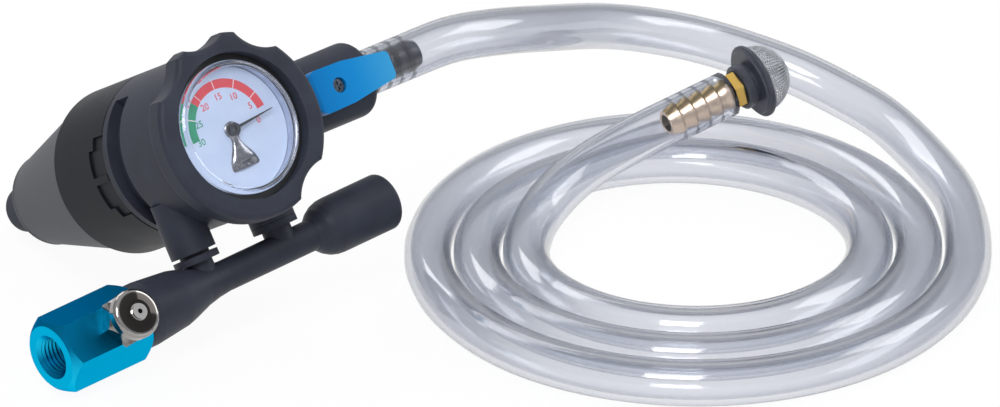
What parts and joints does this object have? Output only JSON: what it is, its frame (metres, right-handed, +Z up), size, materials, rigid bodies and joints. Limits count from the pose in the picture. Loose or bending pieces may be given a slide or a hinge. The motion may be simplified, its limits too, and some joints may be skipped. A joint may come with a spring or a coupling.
{
  "type": "vacuum coolant refiller",
  "caption": "Vacuum coolant refiller: gauge head with a twist-on rubber cone, ball valve, air venturi with muffler, and a clear suction hose that ends in a strainer.",
  "frame": {"origin": "on the floor, below the middle of the tool's own box, without its hose", "axes": "+Z up, +X along the tool towards the hose side, +Y back towards the cone"},
  "size_m": [0.3162, 0.2584, 0.0916],
  "materials": {
    "housing": "matte, lightly textured",
    "cone_rubber": "satin",
    "seal_rubber": "matte",
    "gauge_metal": "polished",
    "movement_brass": "plain",
    "movement_steel": "satin",
    "dial": "matte white with a red and a green band",
    "pointer": "matte",
    "lens": "clear polished plastic",
    "seats": "waxy",
    "steel": "satin",
    "lever": "glossy",
    "barb_plastic": "smooth",
    "nozzle_brass": "machined",
    "foam": "open foam",
    "blue_metal": "blue anodised",
    "chrome": "polished",
    "clear_hose": "clear, smooth",
    "strainer_plastic": "satin",
    "mesh_steel": "woven, fine"
  },
  "bodies": {
    "body": {"head_housing": "housing", "grip_ring": "housing", "gauge_boot": "seal_rubber", "gauge_case": "gauge_metal", "gauge_socket": "movement_brass", "bourdon_tube": "movement_brass", "movement_frame": "movement_brass", "hairspring": "movement_brass", "gauge_dial": "dial", "movement_bridge": "movement_steel", "bridge_rivets": "movement_steel", "gauge_lens": "lens", "collar_seal": "seal_rubber", "valve_body": "housing", "valve_port_seal": "seal_rubber", "ball_seats": "seats", "stem_seal": "seal_rubber", "hose_barb": "barb_plastic", "venturi_body": "housing", "venturi_nozzle": "nozzle_brass", "stub_seals": "seal_rubber", "muffler_shell": "housing", "muffler_core": "foam", "air_inlet": "blue_metal", "inlet_seal": "seal_rubber", "relief_nut": "chrome", "relief_cap": "chrome", "relief_spring": "steel", "hose_cuff": "clear_hose", "hose_lead": "clear_hose", "hose_coil": "clear_hose", "hose_tail": "clear_hose", "tail_cuff": "clear_hose", "brass_barb": "nozzle_brass", "strainer_base": "strainer_plastic", "strainer_mesh": "mesh_steel", "strainer_washer": "seal_rubber"},
    "lever": {"valve_lever": "lever", "lever_screw": "steel", "valve_stem": "steel", "valve_ball": "steel"},
    "pointer": {"gauge_pointer": "pointer", "pinion_shaft": "movement_steel"},
    "sector": {"sector_gear": "movement_steel"},
    "poppet": {"relief_poppet": "nozzle_brass"},
    "adapter": {"bayonet_collar": "housing", "nose_tube": "housing", "rubber_cone": "cone_rubber"}
  },
  "joints": [
    {"name": "valve_turn", "type": "hinge", "parent": "body", "child": "lever", "pos_m": [0.03864, -0.02618, 0.05869], "axis": [-0.0515, -0.8704, 0.4897], "range_deg": [0, 90]},
    {"name": "sector_turn", "type": "hinge", "parent": "body", "child": "sector", "pos_m": [-0.00476, -0.04316, 0.05355], "axis": [-0.0515, -0.8704, 0.4897], "range_deg": [-35.6, 0]},
    {"name": "pointer_turn", "type": "hinge", "parent": "body", "child": "pointer", "pos_m": [-0.00579, -0.04104, 0.06335], "axis": [-0.0515, -0.8704, 0.4897], "range_deg": [0, 178], "stiffness_Nm_per_rad": 0.0002, "springref_deg": -17.19},
    {"name": "relief_lift", "type": "slide", "parent": "body", "child": "poppet", "axis": [-0.0625, -0.8141, 0.5773], "range_m": [0, 0.0012], "stiffness_N_per_m": 400, "springref_m": -0.002, "deforming": ["relief_spring"]},
    {"name": "adapter_turn", "type": "hinge", "parent": "body", "child": "adapter", "pos_m": [-0.00388, -0.00883, 0.04523], "axis": [-0.0515, -0.8704, 0.4897], "range_deg": [-60, 0]}
  ],
  "couplings": [
    {"joint": "pointer_turn", "follows": "sector_turn", "ratio": -5}
  ]
}
